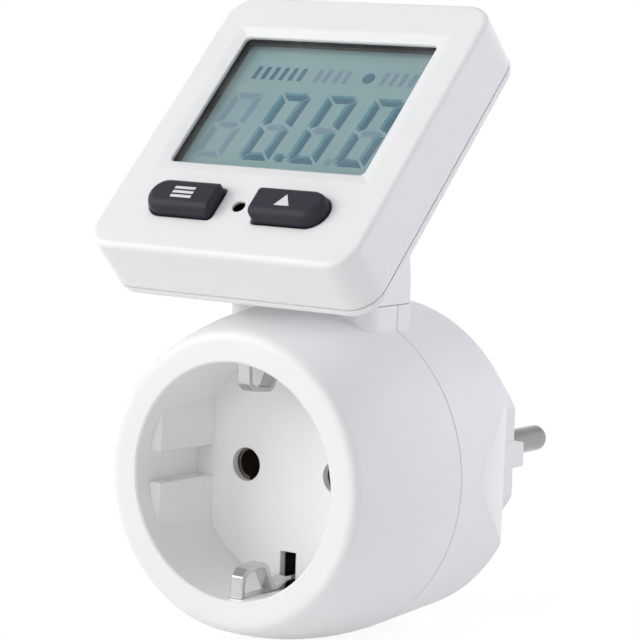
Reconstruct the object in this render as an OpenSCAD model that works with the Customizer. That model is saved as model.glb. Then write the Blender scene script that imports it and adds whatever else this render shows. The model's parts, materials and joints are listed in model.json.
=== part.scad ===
// Plug-through energy monitor: a round socket adapter that carries a tilted display on a swivelling neck.
// The origin is the middle of the plug face between the pins, +Y points into the wall socket and +Z up.

/* [Round body] */
// Radius of the front ring before its edge is rounded
front_r = 25.1; // [24.6:0.1:25.6]
// Radius at the seam between the two housings
seam_r = 29.2; // [28.8:0.1:30.6]
// Radius at the rear edge
rear_r = 28.2; // [27.8:0.1:28.8]
// Length of the front housing, from its ring to the seam
front_len = 25.6; // [25.4:0.1:28]
// Length of the rear housing, from the seam to its rear face
rear_len = 22.1; // [21.4:0.1:26]
// Wall of both housings
wall = 2; // [1.6:0.1:2.3]
// Radius of the rounded front edge
front_edge_r = 2; // [1.6:0.1:2.6]
// Bulge of the front flank over a straight line
flank_bulge = 1.1; // [0.8:0.1:1.3]
// Radius of the rounded rear edge
rear_edge_r = 1.5; // [0.8:0.1:2]
// Half width across the finger grips at the rear face
grip_x = 24.3; // [23.2:0.1:25]
// Width of the shadow groove in every seam
seam_gap = 0.2; // [0.15:0.05:0.5]
// Depth of the shadow groove in every seam
seam_groove = 0.4; // [0.2:0.1:1]

/* [Socket] */
// Radius of the socket recess
socket_r = 20; // [19.6:0.1:20.2]
// Depth of the socket recess
socket_depth = 17.5; // [17:0.1:18.2]
// Thickness of the socket floor
floor_t = 1.5; // [1.3:0.1:2]
// Wall of the socket well
well_wall = 1.7; // [1.4:0.1:1.8]
// Distance between the pins, and between the pin holes
pin_pitch = 19; // [18.6:0.1:19.4]
// Radius of a pin hole
hole_r = 2.9; // [2.7:0.1:3.2]
// Half distance between the guide ribs at the socket floor
rib_x = 16.6; // [16.3:0.1:17.2]
// Draft of a guide rib from the floor to its front end
rib_draft = 0.8; // [0.2:0.1:1]
// Depth at which the guide ribs begin
rib_start = 3.6; // [2.4:0.1:5]
// Half width of the keyway between two guide ribs
keyway_half = 2.65; // [2.4:0.05:3]
// Edge break around the mouth of the recess
mouth_edge = 0.3; // [0.1:0.05:0.5]

/* [Earth contacts] */
// Width of an earth clip
clip_w = 2.4; // [2.2:0.1:3.2]
// Thickness of the earth clips, strips and bridge
earth_t = 0.8; // [0.6:0.05:0.9]
// Height of the clip's hump above the recess axis
clip_top = 14.6; // [14.4:0.1:15.2]
// Width of the earth bridge and of the strips on the plug
earth_w = 4.2; // [3.6:0.1:4.6]
// Distance of the plug's earth strips from the axis
earth_z = 16; // [15.8:0.1:16.2]

/* [Plug] */
// Length of the plug base behind the rear face
plug_len = 18; // [17:0.1:19]
// Radius of the plug base
plug_r = 17.8; // [17.6:0.1:18.4]
// Half distance across the side flats of the plug base
plug_flat_x = 15.9; // [15.6:0.1:16.3]
// Chamfer around the plug face
plug_edge = 0.8; // [0.4:0.1:1.2]
// Reach of the rib on each side flat from the axis
plug_rib_r = 18.4; // [17.8:0.1:18.6]
// Half height of that rib
plug_rib_half = 2.2; // [1.8:0.1:2.3]
// Distance of the rib's end from the plug face
plug_rib_end = 1.4; // [0.5:0.1:4]
// Thickness of the plug face
plug_face_t = 3; // [2.5:0.1:4]
// Radius of the hollow inside the plug base
plug_hollow_r = 14; // [13.4:0.1:14.2]
// Radius of a plug pin
pin_r = 2.4; // [2.3:0.05:2.5]
// Length of a plug pin in front of the plug face
pin_len = 19; // [18:0.1:20]

/* [Swivel] */
// Half width of the pad and of the neck
pad_x = 15.1; // [13:0.1:17]
// Depth of the pad in front of the seam
pad_front = 8.1; // [7.4:0.1:8.4]
// Depth of the pad behind the seam
pad_back = 4.5; // [4.2:0.1:5.5]
// Radius of the pad's front corners
pad_corner_r = 3; // [1.5:0.1:4]
// Height of the pad above the crest of the housing
pad_rise = 0.1; // [0.05:0.05:0.6]
// Gap between the pad and the neck
swivel_gap = 0.1; // [0.1:0.05:0.4]
// Lean of the neck's rear face
neck_lean = 8.4; // [4:0.2:10]
// Wall of the hollow neck
neck_wall = 2; // [1.6:0.1:2.4]
// Radius of the swivel spigot under the neck
spigot_r = 3.8; // [3.5:0.05:3.9]
// Running clearance of the spigot
spigot_fit = 0.05; // [0.03:0.01:0.1]
// Radius of the cable bore in the spigot
cable_bore_r = 2.4; // [2.1:0.1:2.6]
// Radius of the flange that keeps the spigot in the housings
flange_r = 6.6; // [6:0.1:7]
// Thickness of that flange
flange_t = 1.4; // [1.1:0.1:1.8]

/* [Display head] */
// Width of the head
head_w = 54; // [53:0.5:60]
// Height of the head along its front face
head_h = 59.4; // [58.6:0.2:64]
// Thickness of the head
head_t = 12.8; // [12.4:0.1:14.4]
// Corner radius of the head's outline
head_corner_r = 5.2; // [4:0.1:6]
// Radius of the rounded edges of the head
head_edge_r = 1; // [0.6:0.1:1.2]
// Depth of the seam between bezel and back
head_seam = 11; // [10.8:0.1:11.2]
// Wall of the bezel
head_wall = 1.6; // [1.4:0.1:1.8]
// Thickness of the bezel's front
head_front_t = 2; // [1.9:0.1:2.1]
// Tilt of the front face from the upright, towards the back
tilt = 45; // [42:1:46]
// Height of the head's middle above the pad
head_rise = 30.1; // [29.9:0.1:32]
// Distance of the head's middle in front of the seam
head_setback = 12.4; // [12:0.1:13]

/* [Display window] */
// Width of the window opening
window_w = 39.6; // [36:0.2:40]
// Height of the window opening
window_h = 30; // [26:0.2:30.4]
// Height of the window's middle above the head's middle
window_u = 5.2; // [5:0.1:5.6]
// Width of the bevel around the window
bevel_w = 2; // [1:0.1:2.4]
// Depth of the bevel around the window
bevel_d = 0.5; // [0.3:0.05:0.9]
// Depth of the clear window below the front face
pane_depth = 1.1; // [0.95:0.05:1.15]
// Thickness of the clear window
pane_t = 1; // [0.8:0.05:1]
// Overlap of the window behind the bezel
pane_lap = 1.8; // [1.4:0.1:1.8]
// Thickness of the gasket
gasket_t = 0.7; // [0.5:0.05:0.8]
// Thickness of each display glass
glass_t = 1.1; // [0.9:0.05:1.1]
// Height of the contact ledge of the front glass
ledge_h = 2.6; // [2.2:0.1:2.8]
// Thickness of the reflector sheet
reflector_t = 0.3; // [0.2:0.05:0.4]

/* [Keys] */
// Width of a key
key_w = 13.6; // [12:0.1:15]
// Height of a key
key_h = 6.6; // [6:0.1:7]
// Half distance between the two keys
key_in = 4.2; // [4:0.1:4.6]
// Height of a key above the bezel
key_rise = 2.5; // [1.8:0.1:3]
// Distance of the keys below the head's middle
key_drop = 18.95; // [18.9:0.05:19.6]
// Corner radius at the inner end of a key
key_corner_r = 1; // [0.6:0.1:1.6]
// Radius of the rounded top edges of a key
key_edge_r = 1.7; // [1:0.1:2.2]
// Clearance around a key in the bezel
key_gap = 0.3; // [0.25:0.05:0.35]
// Width of the flange that keeps a key in the bezel
key_flange = 0.8; // [0.6:0.05:0.9]
// Travel of a key
key_travel = 0.9; // [0.6:0.05:0.9]
// Radius of the reset pinhole
pinhole_r = 1.2; // [1:0.05:1.4]
// Thickness of the bezel around the pinhole
pinhole_lip = 0.5; // [0.4:0.1:1]
// Travel of the reset plunger
reset_travel = 0.3; // [0.2:0.05:0.4]

/* [Boards and fasteners] */
// Thickness of the display board
board_t = 1.2; // [1:0.05:1.2]
// Depth of the display board behind the front face
board_depth = 5.9; // [5.8:0.05:6.1]
// Radius of the measuring board
meter_r = 18.6; // [18.2:0.1:18.8]
// Thickness of the measuring board
meter_t = 1.6; // [1.2:0.1:2]
// Height of the standoffs under the measuring board
standoff_h = 3.4; // [3:0.1:4]
// Radius of a housing screw's shank
screw_r = 1.5; // [1.3:0.05:1.6]
// Radius of a housing screw's head
screw_head_r = 2.5; // [2.2:0.1:2.6]
// Radius of a head screw's shank
head_screw_r = 1; // [0.8:0.05:1.1]
// Radius of a board screw's shank
board_screw_r = 0.75; // [0.6:0.05:0.8]
// Clearance of a screw in its hole
screw_fit = 0.05; // [0.03:0.01:0.1]
// Radius of the cables
cable_r = 1.2; // [0.9:0.05:1.3]

/* [Hidden] */
$fn = 96;

// Small overlap that joins shapes and clears cuts
over = 0.5;
// Length that reaches past the whole object
far = 200;
// Clearance between pieces that sit inside one another
loose = 0.15;

// Stations along the axis of the round body
rear_y = -plug_len;
seam_y = rear_y - rear_len;
front_y = seam_y - front_len;
floor_y = front_y + socket_depth;
floor_back_y = floor_y + floor_t;
well_r = socket_r + well_wall;
pin_x = pin_pitch / 2;

// Arc of the front flank, with the circle that rounds it into the ring and the point where the two meet
flank_run = [seam_r - front_r, front_len];
flank_arc_r = flank_run * flank_run / (8 * flank_bulge) + flank_bulge / 2;
flank_side = [front_len, front_r - seam_r] / norm(flank_run);
flank_mid = [(front_r + seam_r) / 2, (front_y + seam_y) / 2];
flank_centre = flank_mid - (flank_arc_r - flank_bulge) * flank_side;
edge_y = front_y + front_edge_r;
edge_drop = edge_y - flank_centre[1];
edge_arm = flank_arc_r - front_edge_r;
edge_centre = [flank_centre[0] + sqrt(edge_arm * edge_arm - edge_drop * edge_drop), edge_y];
edge_end = flank_centre + (edge_centre - flank_centre) * flank_arc_r / edge_arm;

// Arc that draws the finger grips in from just outside the seam
grip_outset = 0.25;
grip_start_x = seam_r + grip_outset;
grip_depth = grip_start_x - grip_x;
grip_arc_r = (rear_len * rear_len + grip_depth * grip_depth) / (2 * grip_depth);

// Housing screws sit in posts on a circle inside the rear wall
post_r = 3.3;
post_gap = 0.25;
screw_circle = rear_r - wall - post_r - post_gap;
screw_spots = [for (a = [45:90:315]) screw_circle * [cos(a), sin(a)]];
screw_head_h = 2.2;
screw_post_h = 9;
screw_seat_y = seam_y + screw_post_h;
screw_grip = 5;
screw_tip_y = seam_y - screw_grip;
screw_clear = 0.2;
tip_room = 0.6;
recess_w = 3.4;
recess_slot = 0.7;
recess_depth = 1.2;
boss_offset = 0.6;
boss_y = floor_y + boss_offset;
lip_t = 1.1;
lip_reach = 1.6;
lip_root = 4;

// Swivel: the spigot turns in a collar under the pad, with its flange and washer below the collar
pad_z = seam_r + pad_rise;
pad_rear_r = 0.8;
neck_z = pad_z + swivel_gap;
collar_drop = 4.2;
collar_z = seam_r - collar_drop;
collar_side = 3.4;
collar_x = flange_r + collar_side;
collar_rear = 2.4;
collar_y = flange_r + collar_rear;
washer_t = 0.5;
washer_gap = 0.1;
flange_top = collar_z - washer_t - 2 * washer_gap;
spigot_end = flange_top - flange_t;
neck_side = 2.6;
cable_tail = 0.6;
cable_join_z = spigot_end - cable_tail;
tab_reach = 1.5;
tab_half = 1;
stop_offset = 0.4;
stop_x = flange_r + stop_offset;
stop_w = 1.6;
stop_l = 2;
stop_gap = 0.2;
stop_y = seam_y - tab_half - stop_gap - stop_l;
stop_drop = washer_t + 2 * washer_gap + flange_t;

// Head: x to the right, y up the front face, z out of the front face
head_y = seam_y - head_setback;
head_z = pad_z + head_rise;
cavity_w = head_w - 2 * head_wall;
cavity_h = head_h - 2 * head_wall;
cavity_r = head_corner_r - head_wall;
cover_lip_t = 1.2;
cover_lip_h = 1.5;
head_boss_r = 2.6;
head_boss_inset = 4.6;
head_boss_x = head_w / 2 - head_boss_inset;
head_boss_y = head_h / 2 - head_boss_inset;
head_boss_spots = [for (sx = [-1, 1], sy = [-1, 1]) [sx * head_boss_x, sy * head_boss_y]];
head_screw_head_r = 2.1;
head_screw_head_h = 0.9;
head_screw_sink = 1;
head_screw_len = 7;
head_recess_w = 2.6;
head_recess_slot = 0.6;
head_bore_start = 1.2;
board_post_r = 1.7;
board_post_inset = 2.6;
board_post_x = 14;
board_post_y = cavity_h / 2 - board_post_inset;
board_post_spots = [for (sx = [-1, 1], sy = [-1, 1]) [sx * board_post_x, sy * board_post_y]];
board_screw_head_r = 1.5;
board_screw_head_h = 1;
board_screw_bite = 2.8;

// Stack of the display behind the window opening
window_corner_r = 1;
pane_w = window_w + 2 * pane_lap;
pane_h = window_h + 2 * pane_lap;
gasket_depth = pane_depth + pane_t;
glass_depth = gasket_depth + gasket_t;
rear_glass_depth = glass_depth + glass_t;
reflector_depth = rear_glass_depth + glass_t;
ledge_y = window_u - pane_h / 2 - ledge_h;
zebra_t = 1.8;

// Keys and reset switch between bezel and display board
flange_depth = head_front_t + key_gap;
key_flange_t = 0.9;
pill_t = 0.4;
pill_r = 1.8;
key_stem_r = 2;
pill_clear = 0.1;
pill_depth = board_depth - key_travel - pill_clear;
key_mid = key_in + (key_w - key_h / 2) / 2;
mat_t = 0.8;
mat_hole_r = 2.6;
mat_h = 9;
mat_corner_r = 1;
mat_gap = 0.4;
reset_body = 3.4;
reset_body_h = 2;
pinhole_bridge = 0.8;
plunger_r = 0.8;
plunger_fit = 0.05;
plunger_show = 0.6;
plunger_root = 0.5;
plunger_room = 0.2;

// Display board parts
board_back = board_depth + board_t;
board_mid_h = 43;
board_gap = 0.3;
blob_spot = [-12, 11];
blob_r = 5;
blob_h = 1.2;
crystal_spot = [6, 14];
crystal_r = 1;
crystal_len = 6;
cell_inset = 13.9;
cell_spot = [cavity_w / 2 - cell_inset, -12];
cell_r = 10;
cell_t = 1.6;
cell_clip_t = 0.3;
cell_clip_w = 4;
cell_clip_gap = 0.6;
connector_y = 1;
connector_w = 8;
connector_h = 4;
connector_t = 2.4;

// Measuring board between the carrier and the rear wall
meter_back_y = rear_y - wall - standoff_h;
meter_y = meter_back_y - meter_t;
standoff_r = 1.9;
standoff_shift = 0.4;
standoff_circle = (plug_hollow_r + meter_r) / 2 + standoff_shift;
standoff_spots = [for (a = [30, 150, 210, 330]) standoff_circle * [cos(a), sin(a)]];
meter_screw_r = 0.9;
meter_screw_head_r = 1.8;
meter_screw_head_h = 1.2;
meter_screw_bite = 2.6;
meter_screw_end_y = meter_back_y + meter_screw_bite;
pin_tail_r = 1.5;
pin_root_inset = 0.3;
pin_root_r = pin_r - pin_root_inset;
pin_collar_r = 3.6;
pin_collar_t = 1.5;
pin_tip_r = 1.7;
tail_fit = 0.05;
solder_tail = 0.6;
board_slot_gap = 0.5;
chip_size = [10, 4];
chip_t = 1.7;
chip_z = -7;
shunt_x = 6;
shunt_h = 3;
shunt_w = 3.2;
shunt_t = 0.8;
shunt_z = 9;
dropper_size = [15, 5.4];
dropper_len = 11;
dropper_corner_r = 0.8;
dropper_z = -11.8;
smoothing_r = 3.2;
smoothing_len = 11;
smoothing_spot = [-8, 11.6];
varistor_r = 4;
varistor_t = 3.2;
varistor_lift = 2;
varistor_spot = [9, 12];
varistor_leg_r = 0.4;
varistor_leg_z = 2.5;
resistor_size = [1.6, 3.2];
resistor_t = 0.6;
resistor_z = -11.6;
resistor_x = [-4.5, -1.5, 1.5, 4.5];

// Socket contacts in their carrier
contact_r = 3.4;
contact_in_r = 2.5;
contact_len = 13;
contact_slit = 0.8;
contact_slit_len = 8;
contact_tail_w = 4;
contact_tail_t = 0.8;
contact_tail_z = contact_r - contact_tail_t;
contact_end_t = 1;
contact_tail_root = 3;
contact_gap = 0.3;
contact_y = floor_back_y + contact_gap;
contact_end_y = contact_y + contact_len;
carrier_r = 5.2;
carrier_plate_t = 3;
carrier_plate_w = 30;
carrier_plate_h = 15;
carrier_corner_r = 2;
carrier_cover = 0.4;
tail_gap = 0.2;
carrier_end_y = contact_end_y + carrier_cover;
carrier_plate_y = carrier_end_y - carrier_plate_t;

// Earth path from the clips to the strips on the plug base
clip_slot_gap = 0.45;
clip_slot_w = clip_w + 2 * clip_slot_gap;
clip_slot_top = 14.1;
clip_groove_depth = 0.8;
clip_groove_gap = 0.2;
clip_groove_lead = 0.3;
clip_tail_in = 1.7;
clip_tail_z = socket_r - clip_tail_in;
clip_tail_len = 5;
clip_tail_y = floor_back_y + clip_tail_len;
clip_slot_end = clip_tail_z + earth_t;
bridge_z = clip_tail_z - earth_t;
bridge_lap = 1;
bridge_y = clip_tail_y - bridge_lap;
strip_mid_z = earth_z - earth_t / 2;
bridge_end_z = strip_mid_z + earth_t;
bridge_bend = [8, 4];
bridge_reach = 1.4;
bridge_end_y = meter_back_y + bridge_reach;
strip_lap = 2;
strip_tail_y = meter_y - strip_lap;
strip_inset = 1;
strip_end_y = -strip_inset;
strip_gap = 0.2;

// Earth clip: depth behind the ring with height over its hump, then with distance inside the recess wall
clip_start = 2.9;
clip_hump = [[3.2, 1.5], [4.3, 0.4], [6.5, 0.15], [8.8, 0], [9.6, 0.4]];
clip_foot = [[11.8, 0.7], [12.8, 0.5], [15.8, clip_tail_in]];

// Cables: sides of their outline, the body cable's start, bend and crossing, the head cable's bends
cable_sides = 10;
cable_gap = 1.2;
body_cable_z = 9.5;
body_cable_run = 8;
body_cable_bend = [3, 13.5];
body_cable_cross_z = 18.6;
body_cable_rise = 2.6;
head_cable_foot = 1.2;
head_cable_turn = 0.8;

function unit(v) = v / norm(v);
function reversed(list) = [for (i = [len(list) - 1:-1:0]) list[i]];
function leftward(v) = [-v[1], v[0]];
// Sideways shift of the middle point of a bent strip, so that both legs keep their thickness
function miter(a, b, c, half) =
  let (n = leftward(unit(b - a)), m = unit(n + leftward(unit(c - b)))) half * m / (m * n);
function side_shift(p, i, half) =
  i == 0 ? leftward(unit(p[1] - p[0])) * half :
  i == len(p) - 1 ? leftward(unit(p[i] - p[i - 1])) * half :
  miter(p[i - 1], p[i], p[i + 1], half);
// Outline of a strip of thickness t bent along the points p
function ribbon(p, t) = concat(
  [for (i = [0:len(p) - 1]) p[i] + side_shift(p, i, t / 2)],
  reversed([for (i = [0:len(p) - 1]) p[i] - side_shift(p, i, t / 2)]));

// Turns an outline of radius and station about the body's axis
module turned() {
  rotate([-90, 0, 0])
    rotate_extrude() children();
}

// Extrudes an outline drawn in x and z between two stations
module along_y(y0, y1) {
  translate([0, y1, 0])
    rotate([90, 0, 0])
      linear_extrude(y1 - y0) children();
}

// Extrudes an outline drawn in y and z to a width across x
module across_x(w) {
  rotate([90, 0, 90])
    linear_extrude(w, center = true) children();
}

// Ring of points around point i of a route, square to the route there
function route_ring(p, i, r) =
  let (
    t = unit(p[min(i + 1, len(p) - 1)] - p[max(i - 1, 0)]),
    u = unit(cross(t, [1, 0, 0])),
    v = cross(t, u)
  )
  [for (a = [0:360 / cable_sides:359]) p[i] + r * (cos(a) * u + sin(a) * v)];

// Cable swept along a route that never runs straight along x
module cable(p, r) {
  n = cable_sides;
  last = (len(p) - 1) * n;
  polyhedron(
    points = [for (i = [0:len(p) - 1]) each route_ring(p, i, r)],
    faces = concat(
      [for (k = [1:n - 2]) [0, k, k + 1]],
      [for (k = [1:n - 2]) [last, last + k + 1, last + k]],
      [for (a = [0:n:last - n], k = [0:n - 1]) [a + k, a + n + k, a + n + (k + 1) % n]],
      [for (a = [0:n:last - n], k = [0:n - 1]) [a + k, a + n + (k + 1) % n, a + (k + 1) % n]]
    )
  );
}

module rounded_rect(w, h, r) {
  square([w - 2 * r, h], center = true);
  square([w, h - 2 * r], center = true);
  for (sx = [-1, 1], sy = [-1, 1])
    translate([sx * (w / 2 - r), sy * (h / 2 - r)])
      circle(r);
}

// Cross-section of a plate below z = 0 whose two upper edges are rounded
module soft_section(w, t, e) {
  translate([-w / 2, -t])
    square([w, t - e]);
  translate([-w / 2 + e, -t])
    square([w - 2 * e, t]);
  intersection() {
    for (s = [-1, 1])
      translate([s * (w / 2 - e), -e])
        circle(e);
    translate([-w / 2, -t])
      square([w, t]);
  }
}

// Plate with round corners and a rounded upper edge, its top at z = 0
module soft_plate(w, h, r, t, e) {
  rotate([90, 0, 0])
    linear_extrude(h - 2 * r, center = true)
      soft_section(w, t, e);
  rotate([90, 0, 90])
    linear_extrude(w - 2 * r, center = true)
      soft_section(h, t, e);
  for (sx = [-1, 1], sy = [-1, 1])
    translate([sx * (w / 2 - r), sy * (h / 2 - r), 0])
      rotate_extrude()
        intersection() {
          soft_section(2 * r, t, e);
          translate([0, -t])
            square([r, t]);
        }
}

module at_head() {
  translate([0, head_y, head_z])
    rotate([tilt, 0, 0]) children();
}

// Slab of the head between two depths behind the front face
module head_slab(d0, d1) {
  at_head()
    translate([0, 0, -d1])
      linear_extrude(d1 - d0) children();
}

module head_pegs(spots, d0, d1, r) {
  head_slab(d0, d1)
    for (p = spots)
      translate(p)
        circle(r);
}

module body_pegs(spots, y0, y1, r) {
  along_y(y0, y1)
    for (p = spots)
      translate(p)
        circle(r);
}

// Half section of the front housing's outside, its front edge rounded into the flank
module front_section() {
  intersection() {
    translate([0, edge_end[1]])
      square([far, seam_y - edge_end[1]]);
    translate(flank_centre)
      circle(flank_arc_r);
  }
  polygon([
    [0, front_y], [edge_centre[0], front_y], edge_end, edge_end + [-over, over], [0, edge_end[1] + over]
  ]);
  translate(edge_centre)
    circle(front_edge_r);
}

// Half section of the rear housing's outside, its rear edge rounded
module rear_section() {
  polygon([
    [0, seam_y], [seam_r, seam_y], [rear_r, rear_y - rear_edge_r],
    [rear_r - rear_edge_r, rear_y], [0, rear_y]
  ]);
  translate([rear_r - rear_edge_r, rear_y - rear_edge_r])
    circle(rear_edge_r);
}

module pad_outline() {
  half = pad_x - pad_corner_r;
  translate([-pad_x, seam_y - pad_front + pad_corner_r])
    square([2 * pad_x, pad_front + pad_back - pad_corner_r - pad_rear_r]);
  translate([-half, seam_y - pad_front])
    square([2 * half, pad_front + pad_back]);
  translate([-pad_x + pad_rear_r, seam_y])
    square([2 * (pad_x - pad_rear_r), pad_back]);
  for (s = [-1, 1]) {
    translate([s * half, seam_y - pad_front + pad_corner_r])
      circle(pad_corner_r);
    translate([s * (pad_x - pad_rear_r), seam_y + pad_back - pad_rear_r])
      circle(pad_rear_r);
  }
}

module pad_block() {
  translate([0, 0, socket_r])
    linear_extrude(pad_z - socket_r)
      pad_outline();
}

// Half space in front of the seam, or behind it
module half_space(side) {
  translate([-far / 2, side < 0 ? seam_y - far : seam_y, -far / 2])
    cube(far);
}

// Thick place under the pad for the swivel's bore, its top inside the housing wall
module collar_block() {
  intersection() {
    translate([-collar_x, seam_y - pad_front, collar_z])
      cube([2 * collar_x, pad_front + collar_y, pad_z - collar_z]);
    body_pegs([[0, 0]], seam_y - front_len, rear_y, seam_r - wall + loose);
  }
}

module swivel_bore() {
  translate([0, seam_y, collar_z - over])
    cylinder(h = pad_z - collar_z + 2 * over, r = spigot_r + spigot_fit);
}

module front_housing() {
  color("white")
  difference() {
    union() {
      difference() {
        union() {
          turned()
            front_section();
          intersection() {
            pad_block();
            half_space(-1);
          }
        }
        turned()
          intersection() {
            polygon([
              [well_r, front_y + wall], [seam_r, front_y + wall], [seam_r, seam_y + over],
              [0, seam_y + over], [0, floor_back_y], [well_r, floor_back_y]
            ]);
            translate(flank_centre)
              circle(flank_arc_r - wall);
          }
        turned()
          polygon([
            [0, front_y - over], [socket_r + mouth_edge + over, front_y - over],
            [socket_r, front_y + mouth_edge], [socket_r, floor_y], [0, floor_y]
          ]);
      }
      guide_ribs();
      intersection() {
        collar_block();
        half_space(-1);
      }
      body_pegs(screw_spots, boss_y, seam_y, post_r);
      swivel_stops();
      register_lip();
    }
    body_pegs([[-pin_x, 0], [pin_x, 0]], floor_y - over, floor_back_y + over, hole_r);
    body_pegs(screw_spots, screw_tip_y - tip_room, seam_y + over, screw_r + screw_fit);
    swivel_bore();
    for (s = [-1, 1])
      earth_clip_cuts(s);
  }
}

// Four ribs that guide a plug, with a keyway between each pair
module guide_ribs() {
  rib_front_y = front_y + rib_start;
  mouth_x = rib_x + rib_draft;
  difference() {
    along_y(rib_front_y, floor_y + over)
      difference() {
        circle(socket_r + well_wall / 2);
        square([far, 2 * keyway_half], center = true);
      }
    linear_extrude(far, center = true)
      polygon([
        [-mouth_x, rib_front_y - over], [mouth_x, rib_front_y - over], [mouth_x, rib_front_y],
        [rib_x, floor_y], [rib_x, floor_y + 2 * over], [-rib_x, floor_y + 2 * over],
        [-rib_x, floor_y], [-mouth_x, rib_front_y]
      ]);
  }
}

// Groove under an earth clip and the slot that its tail goes through
module earth_clip_cuts(s) {
  along_y(front_y + clip_start - earth_t / 2 - clip_groove_lead, floor_back_y + over)
    translate([-clip_w / 2 - clip_groove_gap, s > 0 ? clip_slot_end : -socket_r - clip_groove_depth])
      square([clip_w + 2 * clip_groove_gap, socket_r + clip_groove_depth - clip_slot_end]);
  along_y(floor_y - over, floor_back_y + over)
    translate([-clip_slot_w / 2, s > 0 ? clip_slot_top : -clip_slot_end - over])
      square([clip_slot_w, clip_slot_end + over - clip_slot_top]);
}

// Stops that the flange's tab meets at each end of the turn
module swivel_stops() {
  for (s = [-1, 1])
    translate([s * (stop_x + stop_w / 2) - stop_w / 2, stop_y, collar_z - stop_drop])
      cube([stop_w, stop_l, stop_drop + over]);
}

// Thin lip that centres the rear housing on the front one
module register_lip() {
  lip_r = seam_r - wall - loose;
  root_r = seam_r - wall / 2;
  difference() {
    turned()
      polygon([
        [lip_r - lip_t, seam_y - lip_root], [root_r, seam_y - lip_root], [root_r, seam_y],
        [lip_r, seam_y], [lip_r, seam_y + lip_reach], [lip_r - lip_t, seam_y + lip_reach]
      ]);
    body_pegs(screw_spots, seam_y, seam_y + lip_reach + over, post_r + loose);
    translate([-collar_x - loose, seam_y, collar_z - wall])
      cube([2 * (collar_x + loose), lip_reach + over, pad_z]);
  }
}

// Space between the finger grips: two large cylinders that cross
module grip_lens(inset) {
  reach = grip_start_x - grip_arc_r;
  intersection() {
    translate([reach, seam_y, -far / 2])
      cylinder(h = far, r = grip_arc_r - inset);
    translate([-reach, seam_y, -far / 2])
      cylinder(h = far, r = grip_arc_r - inset);
  }
}

module rear_housing() {
  color("white")
  difference() {
    union() {
      difference() {
        union() {
          intersection() {
            turned()
              rear_section();
            grip_lens(0);
          }
          plug_base();
          along_y(rear_y - wall, -plug_rib_end)
            plug_ribs();
          intersection() {
            pad_block();
            half_space(1);
          }
        }
        intersection() {
          turned()
            polygon([
              [0, seam_y - over], [seam_r - wall, seam_y - over], [seam_r - wall, seam_y],
              [rear_r - wall, rear_y - wall], [0, rear_y - wall]
            ]);
          grip_lens(wall);
        }
        body_pegs([[0, 0]], rear_y - wall - over, -plug_face_t, plug_hollow_r);
      }
      intersection() {
        collar_block();
        half_space(1);
      }
      body_pegs(screw_spots, seam_y, rear_y - wall + over, post_r);
      body_pegs(standoff_spots, meter_back_y, rear_y - wall + over, standoff_r);
    }
    swivel_bore();
    body_pegs(screw_spots, seam_y - over, rear_y, screw_r + screw_clear);
    body_pegs(screw_spots, screw_seat_y, rear_y + over, screw_head_r + screw_clear);
    body_pegs(standoff_spots, meter_back_y - over, meter_screw_end_y, meter_screw_r + screw_fit);
    body_pegs([[-pin_x, 0], [pin_x, 0]], -plug_face_t - over, over, pin_r + tail_fit);
    for (s = [-1, 1])
      earth_strip_cuts(s);
    seam_shadow();
  }
}

// Round plug base with two side flats, chamfered around its face
module plug_base() {
  root_y = rear_y - wall;
  intersection() {
    turned()
      polygon([[0, root_y], [plug_r, root_y], [plug_r, -plug_edge], [plug_r - plug_edge, 0], [0, 0]]);
    linear_extrude(far, center = true)
      polygon([
        [-plug_flat_x, root_y], [plug_flat_x, root_y], [plug_flat_x, -plug_edge],
        [plug_flat_x - plug_edge, 0], [plug_edge - plug_flat_x, 0], [-plug_flat_x, -plug_edge]
      ]);
  }
}

module plug_ribs() {
  intersection() {
    circle(plug_rib_r);
    square([far, 2 * plug_rib_half], center = true);
  }
}

// Groove in the plug base for an earth strip, and the slot that its tail goes through
module earth_strip_cuts(s) {
  half = earth_w / 2 + strip_gap;
  inner = earth_z - earth_t - strip_gap / 2;
  along_y(rear_y, strip_end_y + strip_gap)
    translate([-half, s > 0 ? inner : -plug_r - over])
      square([2 * half, plug_r + over - inner]);
  along_y(rear_y - wall - over, rear_y + over)
    translate([-half, s > 0 ? inner : -earth_z - strip_gap / 2])
      square([2 * half, earth_t + strip_gap]);
}

// Shadow groove in the seam of the round body and of the pad
module seam_shadow() {
  turned()
    translate([seam_r - seam_groove, seam_y - over])
      square([seam_groove + over, seam_gap + over]);
  for (s = [-1, 1])
    translate([s > 0 ? pad_x - seam_groove : -pad_x - over, seam_y - over, socket_r])
      cube([seam_groove + over, seam_gap + over, pad_z]);
}

module housing_screws() {
  color("dimgray")
  for (p = screw_spots)
    translate([p[0], 0, p[1]])
      difference() {
        union() {
          body_pegs([[0, 0]], screw_tip_y, screw_seat_y + over, screw_r);
          body_pegs([[0, 0]], screw_seat_y, screw_seat_y + screw_head_h, screw_head_r);
        }
        cross_recess(screw_seat_y + screw_head_h);
      }
}

// Cross recess in a screw head that faces +Y
module cross_recess(y) {
  along_y(y - recess_depth, y + over) {
    square([recess_w, recess_slot], center = true);
    square([recess_slot, recess_w], center = true);
  }
}

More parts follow.
